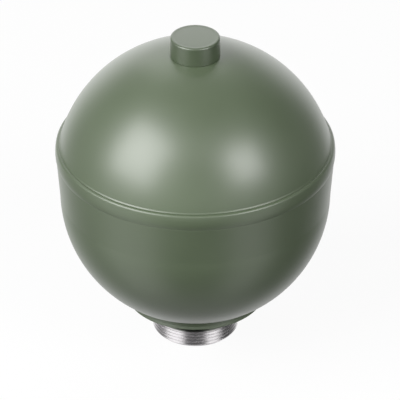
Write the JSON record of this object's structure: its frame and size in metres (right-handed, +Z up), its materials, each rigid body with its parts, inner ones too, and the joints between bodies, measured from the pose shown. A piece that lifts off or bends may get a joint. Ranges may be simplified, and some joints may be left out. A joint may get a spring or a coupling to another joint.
{
  "type": "hydraulic accumulator",
  "caption": "Screw-in sphere accumulator: welded steel shells with a gas charge plug on top, a rubber diaphragm inside and a damper valve in the threaded neck.",
  "frame": {"origin": "centre of the screw neck's end face, the lowest point of the object", "axes": "+Z up along the axis of the neck, the sphere and the charge plug; the object is round, so X and Y are free, with the damper nut's corners on X"},
  "size_m": [0.1152, 0.1152, 0.1401],
  "materials": {
    "shell_paint": "satin olive green paint",
    "plug_paint": "satin olive green paint over turned steel",
    "neck_steel": "bare turned steel, oiled",
    "pressed_steel": "pressed steel",
    "spring_steel": "blued spring steel",
    "zinc_steel": "zinc plated",
    "sintered_iron": "sintered, oiled",
    "diaphragm_rubber": "moulded rubber",
    "seal_rubber": "moulded rubber",
    "button_plastic": "moulded plastic"
  },
  "bodies": {
    "root": {"upper_shell": "shell_paint", "lower_shell": "shell_paint", "neck_fitting": "neck_steel", "charge_plug": "plug_paint", "charge_seal": "seal_rubber", "diaphragm": "diaphragm_rubber", "diaphragm_button": "button_plastic", "clamp_ring": "pressed_steel", "damper_body": "sintered_iron", "bump_leaf_1": "spring_steel", "bump_leaf_2": "spring_steel", "bump_leaf_3": "spring_steel", "bump_leaf_4": "spring_steel", "rebound_leaf_1": "spring_steel", "rebound_leaf_2": "spring_steel", "rebound_leaf_3": "spring_steel", "rebound_leaf_4": "spring_steel", "bump_spacer": "pressed_steel", "rebound_spacer": "pressed_steel", "bump_stop_washer": "pressed_steel", "damper_bolt": "zinc_steel", "damper_nut": "zinc_steel"}
  },
  "joints": []
}
